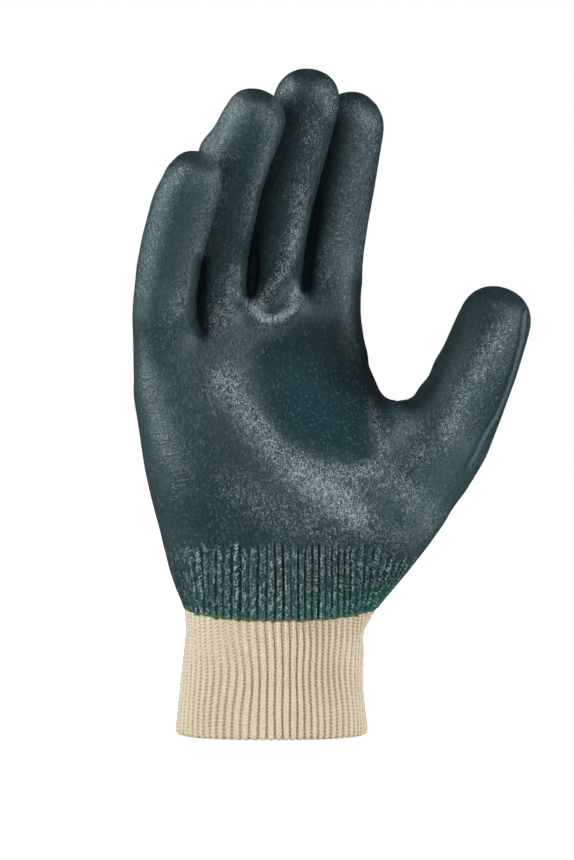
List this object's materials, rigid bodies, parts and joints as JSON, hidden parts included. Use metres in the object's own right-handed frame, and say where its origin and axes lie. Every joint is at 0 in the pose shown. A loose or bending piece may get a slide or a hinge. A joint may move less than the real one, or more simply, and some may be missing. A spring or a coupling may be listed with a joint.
{
  "type": "pvc coated glove",
  "caption": "Right-hand work glove, fully PVC coated with a sandy grip finish over a ribbed wrist, on a bare rib-knit cuff, in the form of a relaxed open hand.",
  "frame": {"origin": "the middle of the wrist opening, in the plane of the cuff's hem", "axes": "+Z from the wrist to the fingertips, -Y the palm's side, +X the thumb's side"},
  "size_m": [0.1571, 0.0932, 0.2639],
  "materials": {
    "pvc_coat": "dark teal-green PVC with a sandy, lightly sparkling surface",
    "cotton_knit": "undyed cream cotton rib knit"
  },
  "bodies": {
    "root": {"palm": "pvc_coat", "little_finger": "pvc_coat", "ring_finger": "pvc_coat", "middle_finger": "pvc_coat", "index_finger": "pvc_coat", "thumb": "pvc_coat", "knit_wrist": "cotton_knit"}
  },
  "joints": []
}
